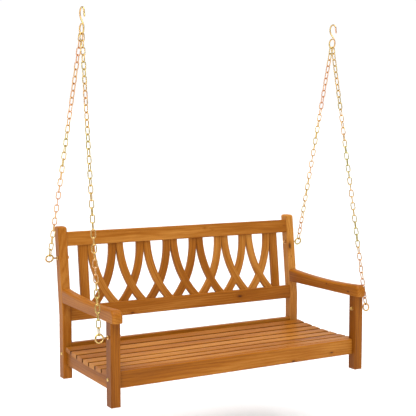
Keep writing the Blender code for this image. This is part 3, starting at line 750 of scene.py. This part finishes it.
def s_hook(side):
    """S-hook: open crook above, facing forward, closed eye below."""
    top = (0, HOOK_WIRE - HOOK_TOP_RADIUS)
    drop = SWING_AXIS.z
    tip = [(y, top[1] - below) for y, below in HOOK_TIP]
    crook = arc(top, HOOK_TOP_RADIUS, 180, 0, 20)
    start, end = Vector((HOOK_TOP_RADIUS, top[1], 0)), Vector((-HOOK_EYE_RADIUS, drop, 0))
    lead, trail = start - Vector((0, HOOK_NECK[0], 0)), end + Vector((0, HOOK_NECK[1], 0))
    neck = [tuple(spot)[:2] for spot in interpolate_bezier(start, lead, trail, end, 18)[1:-1]]
    eye = arc((0, drop), HOOK_EYE_RADIUS, 180, 448, 40)
    points = [(SIDES[side] * HOOK_X, y, z) for y, z in tip + crook + neck + eye]
    mesh = swept_wire(points, HOOK_WIRE)
    finish_metal(f"s_hook_wire_{side}", mesh, "hooks", f"s_hook_{side}")


def arc(centre, radius, start, end, steps):
    """Points on an arc from start to end, both in degrees."""
    angles = [math.radians(start + (end - start) * i / steps) for i in range(steps + 1)]
    return [(centre[0] + radius * math.cos(a), centre[1] + radius * math.sin(a)) for a in angles]


def eye_bolt(side, row):
    """Eye bolt with its threaded shank, outer collar, inner washer and chamfered nut."""
    end = ("front", "rear")[row]
    eye_y, eye_z = eye_place(row)
    facing = Matrix.Rotation(0 if side == "right" else math.pi, 4, "Z")
    turn = Matrix.Rotation(-math.atan2(AXIS_IN_BENCH.y - eye_y, AXIS_IN_BENCH.z - eye_z), 4, "X")
    place = HANG @ Matrix.Translation((outer_face(side), eye_y, eye_z)) @ turn @ facing
    ring = [(EYE_OUT + u, 0, v) for u, v in arc((0, 0), EYE_RING, 180, 540, 48)[:-1]]
    shank_start = EYE_OUT - EYE_RING - 0.001
    shank = lathe([(0.0030, 0.0034), (EYE_WIRE, 0.0042), (EYE_WIRE, shank_start)], 24)
    collar = lathe([(0.0079, GAP), (0.0085, GAP + 0.0005), (0.0085, 0.0030), (0.0079, 0.0035),
                    (0.0030, 0.0035)])
    thread = lathe(threaded(EYE_WIRE, -POST_WIDE - EYE_TAIL, -POST_WIDE + 0.002), 20)
    core = lathe([(EYE_WIRE - 0.0004, -POST_WIDE), (EYE_WIRE - 0.0004, 0.004)], 16)
    bolt = joined([swept_wire(ring, EYE_WIRE, closed=True), shank, collar, thread, core])
    bolt.transform(place)
    finish_metal(f"eye_bolt_{end}_{side}_forged", bolt, "bench", f"eye_bolt_{end}_{side}")
    washer_at = -POST_WIDE - GAP
    nut_at = washer_at - WASHER_THICK - GAP
    washer = lathe([(0.0087, washer_at), (0.0090, washer_at - 0.0003),
                    (0.0090, washer_at - WASHER_THICK + 0.0003), (0.0087, washer_at - WASHER_THICK)], 40)
    washer.transform(place)
    finish_metal(f"washer_{end}_{side}", washer, "bench", f"eye_bolt_washer_{end}_{side}")
    flats, chamfered = hexagon(NUT_ACROSS, 0.0073), hexagon(NUT_ACROSS, 0.0064)
    nut = lathe([(chamfered, nut_at), (flats, nut_at - 0.0008), (flats, nut_at - NUT_THICK + 0.0008),
                 (chamfered, nut_at - NUT_THICK)], 48)
    nut.transform(place)
    finish_metal(f"nut_{end}_{side}", nut, "bench", f"eye_bolt_nut_{end}_{side}")


def eye_place(row):
    """y and z of an eye bolt's axis in the bench's frame, row 0 in front."""
    return (rear_face(EYE_Z[row]) if row else 0.0) + POST_DEEP / 2, EYE_Z[row]


def rail_bolt(side, row):
    """Connector bolt: low domed head with a hexagon socket, shank through post and rail."""
    end = ("front", "rear")[row]
    facing = Matrix.Rotation(0 if side == "right" else math.pi, 4, "Z")
    place = HANG @ Matrix.Translation((outer_face(side), RAIL_BOLT_Y[row], RAIL_BOLT_Z[row])) @ facing
    socket = hexagon(0.0040)
    mesh = lathe([(0.0030, -0.0780), (0.0030, GAP), (0.0068, GAP), (0.0070, 0.0008), (0.0066, 0.0018),
                  (0.0050, 0.0030), (0.0030, 0.0035), (hexagon(0.0044), 0.0035), (socket, 0.0032),
                  (socket, 0.0008)], 36)
    mesh.transform(place)
    finish_metal(f"rail_bolt_{end}_{side}_turned", mesh, "bench", f"rail_bolt_{end}_{side}")


def chain(side, row, group):
    """A taut chain from the hook's eye to an eye bolt."""
    end = ("front", "rear")[row]
    count = CHAIN_LINKS[row]
    hook = Vector((SIDES[side] * HOOK_X, AXIS_IN_BENCH.y, AXIS_IN_BENCH.z))
    ring = Vector((outer_face(side) + SIDES[side] * EYE_OUT, *eye_place(row)))
    along = (ring - hook).normalized()
    first = hook + along * (HOOK_EYE_RADIUS - HOOK_WIRE)
    last = ring - along * (EYE_RING - EYE_WIRE)
    across = Vector((1, 0, 0)).cross(along).normalized()
    wide = along.cross(across)
    lie = Matrix((wide, across, -along)).transposed().to_4x4()
    twist = math.pi / 2 if count % 2 else 0.0
    values = {"Links": count, "Metal": ZINC, "Length": (last - first).length, "Wire": LINK_WIRE,
              "Width": LINK_WIDE, "Turn": math.pi / 2 + twist / (count - 1)}
    mesh = grown(group, values, HANG @ Matrix.Translation(first) @ lie)
    finish_metal(f"chain_links_{end}_{side}", mesh, "bench", f"chain_{end}_{side}")


# ---- assembly -----------------------------------------------------------------------------
ZINC = yellow_zinc("yellow_zinc_plating")

board("top_rail_board", "top_rail", BACK, "X", (0.055, -0.035), (-0.01, 0.20),
      [knot(0.109, 0.531, 0.600, 0.0034), knot(0.150, 0.530, 0.588, 0.0022), knot(0.548, 0.530, 0.590, 0.0030)],
      inset=TENON)
board("lower_rail_board", "lower_back_rail", BACK, "X", (-0.045, 0.040), (0.05, 0.18),
      [knot(-0.277, 0.490, 0.252, 0.0050), knot(0.276, 0.494, 0.275, 0.0055)], inset=TENON)
for side_name, sign in SIDES.items():
    board(f"end_slat_board_{side_name}", f"end_slat_{side_name}", BACK, "Z", (0.03 * sign, 0.05), (0.08, 0.0),
          edge=END_SLAT_EDGE, slot="lattice_wood")
    board(f"front_post_board_{side_name}", f"front_post_{side_name}", HANG, "Z", (0.05 * sign, 0.04),
          (0.36, 0.0))
    rear_post(side_name)
    armrest(side_name)
    seat_support(f"side_rail_{side_name}", (0.14, 0.0), (0.04, 0.05 * sign))
    s_hook(side_name)
board("front_rail_board", "front_rail", HANG, "X", (0.050, -0.060), (0.06, -0.18),
      [knot(0.448, 0.020, 0.086, 0.0035), knot(0.2475, 0.020, 0.072, 0.0045)])
board("rear_rail_board", "rear_rail", HANG, "X", (0.060, 0.050), (0.05, 0.0))
seat_support("seat_bearer", (0.08, 0.0), (0.05, 0.03))

slat_low, slat_high = local_box("seat_slat_4", HANG)
seat_wood = acacia("acacia_seat", HANG @ Matrix.Translation((0, 0.22, 0.12)), (0.03, -0.07), (-0.03, 0.0),
                   [knot(0.337, 0.096, 0.131, 0.0040)], boards=SLAT_WIDE)
seat = grown(seat_group(), {"Boards": SEAT_SLATS, "Wood": seat_wood, "Length": slat_high.x - slat_low.x,
                            "Width": SLAT_WIDE, "Thickness": SLAT_THICK, "Edge": SLAT_EDGE,
                            "Front": SEAT_FRONT, "Pitch": SEAT_PITCH, "Low": SEAT_LOW, "Low At": SEAT_LOW_AT,
                            "Curve": SEAT_CURVE}, HANG)
seat_piece = finish_piece("seat_boards", seat, seat_wood, "bench", "seat_wood",
                          [f"seat_slat_{i + 1}" for i in range(SEAT_SLATS)])
even_normals(seat_piece)

lattice_wood = lattice_acacia("acacia_lattice")
clear_low, clear_high = local_box("lower_back_rail", BACK)[1].z, local_box("top_rail", BACK)[0].z
slat_front, slat_back = local_box("end_slat_left", BACK)[0].y, local_box("end_slat_left", BACK)[1].y
lattice_radius = (clear_high - clear_low) / math.sin(LATTICE_END_ANGLE)
lattice_place = BACK @ Matrix.Translation((0, (slat_front + slat_back) / 2, clear_high)) \
    @ Matrix.Rotation(math.pi / 2, 4, "X")
lattice = grown(lattice_group(), {"Bays": BAYS, "Wood": lattice_wood, "Bay": BAY, "Width": LATTICE_WIDE,
                                  "Thickness": slat_back - slat_front - LAP_STEP, "Edge": LATTICE_EDGE,
                                  "Radius": lattice_radius, "Lead": ROOT_ABOVE / lattice_radius,
                                  "Lap": LAP_STEP,
                                  "Sweep": LATTICE_END_ANGLE + (ROOT_ABOVE + ROOT_BELOW) / lattice_radius},
                lattice_place)
lattice_piece = finish_piece("lattice_slats", lattice, lattice_wood, "bench", "lattice_wood",
                             [f"lattice_{hand}_{i + 1}" for hand in ("left", "right") for i in range(BAYS)])
even_normals(lattice_piece)

links = chain_group()
for side_name in SIDES:
    for row_number in (0, 1):
        chain(side_name, row_number, links)
        eye_bolt(side_name, row_number)
        rail_bolt(side_name, row_number)


# ---- stage, light and camera --------------------------------------------------------------
def area_light(name, at, aim, size, power):
    lamp = bpy.data.lights.new(name, "AREA")
    lamp.shape = "DISK"
    lamp.size = size
    lamp.energy = power
    light = bpy.data.objects.new(name, lamp)
    bpy.context.scene.collection.objects.link(light)
    light.location = at
    light.rotation_euler = (Vector(aim) - Vector(at)).to_track_quat("-Z", "Y").to_euler()
    return light


feet = local_box("front_post_left", HANG)[0]
floor_z = (HANG @ feet).z - FLOOR_BELOW_FEET
floor_mesh = bpy.data.meshes.new("floor")
floor_shape = bmesh.new()
bmesh.ops.create_grid(floor_shape, x_segments=8, y_segments=8, size=FLOOR_REACH)
floor_shape.to_mesh(floor_mesh)
floor_shape.free()
floor_mesh.transform(Matrix.Translation((0, 0, floor_z)))
floor_mesh.materials.append(floor_paint("pale_floor"))
floor = bpy.data.objects.new("floor", floor_mesh)
bpy.context.scene.collection.objects.link(floor)

middle = HANG @ Vector((0, 0.25, 0.30))
area_light("key", middle + KEY_FROM, middle, KEY_SIZE, KEY_POWER)
lamp = bpy.data.lights.new("soft_sun", "SUN")
lamp.energy = SUN_POWER
lamp.angle = SUN_ANGLE
soft_sun = bpy.data.objects.new("soft_sun", lamp)
bpy.context.scene.collection.objects.link(soft_sun)
soft_sun.rotation_euler = SUN_FROM.to_track_quat("Z", "Y").to_euler()

world = bpy.data.worlds.new("studio")
bpy.context.scene.world = world
world.use_nodes = True
sky = Tree(world.node_tree)
height = sky.wire("ShaderNodeSeparateXYZ", None, {0: sky.wire("ShaderNodeTexCoord")}, 2)
glow = 1.02 - sky.step(height, 0.20, 0.32) * 0.75 + sky.step(height, 0.70, 0.85) * 1.5
backdrop = world.node_tree.nodes["Background"]
backdrop.inputs["Color"].default_value = (1.0, 1.0, 1.0, 1)
sky.tree.links.new(glow.socket, backdrop.inputs["Strength"])
bpy.context.scene.view_settings.view_transform = "Standard"

right = Vector((math.cos(CAMERA_AZIMUTH), math.sin(CAMERA_AZIMUTH), 0))
level = Vector((-right.y, right.x, 0))
forward = level * math.cos(CAMERA_DOWN) + Vector((0, 0, -math.sin(CAMERA_DOWN)))
looking = Matrix((right, right.cross(forward), -forward)).transposed().to_4x4()
lens = bpy.data.cameras.new("camera")
lens.lens = CAMERA_LENS
lens.clip_end = 200
camera = bpy.data.objects.new("camera", lens)
bpy.context.scene.collection.objects.link(camera)
camera.matrix_world = HANG @ Matrix.Translation(CAMERA_AT) @ looking
bpy.context.scene.camera = camera
